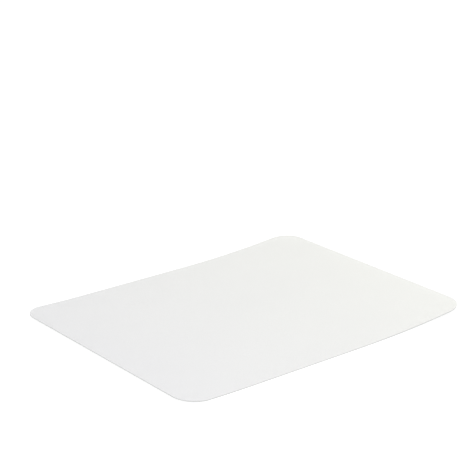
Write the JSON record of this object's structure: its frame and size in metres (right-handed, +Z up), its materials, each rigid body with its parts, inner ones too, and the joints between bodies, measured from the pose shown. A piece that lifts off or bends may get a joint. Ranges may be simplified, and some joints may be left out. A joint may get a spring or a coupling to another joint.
{
  "type": "chair mat",
  "caption": "Thin translucent floor mat with rounded corners and an anti-slip underside, for rolling a desk chair on a hard floor; its ends keep a slight curl.",
  "frame": {"origin": "on the floor under the middle of the mat, at the underside of the anti-slip layer", "axes": "+X along the mat's length towards the end that lifts more, +Y across its width, +Z up out of the floor"},
  "size_m": [1.15, 0.9, 0.0281],
  "materials": {
    "clear_sheet": "clear rigid plastic sheet with a fine matte texture on top and a smooth cut rim; light passes through it with a milky haze",
    "grip_layer": "thin translucent soft layer, dull, bonded all over the underside"
  },
  "bodies": {
    "root": {"grip_backing": "grip_layer", "mat_sheet": "clear_sheet"}
  },
  "joints": []
}
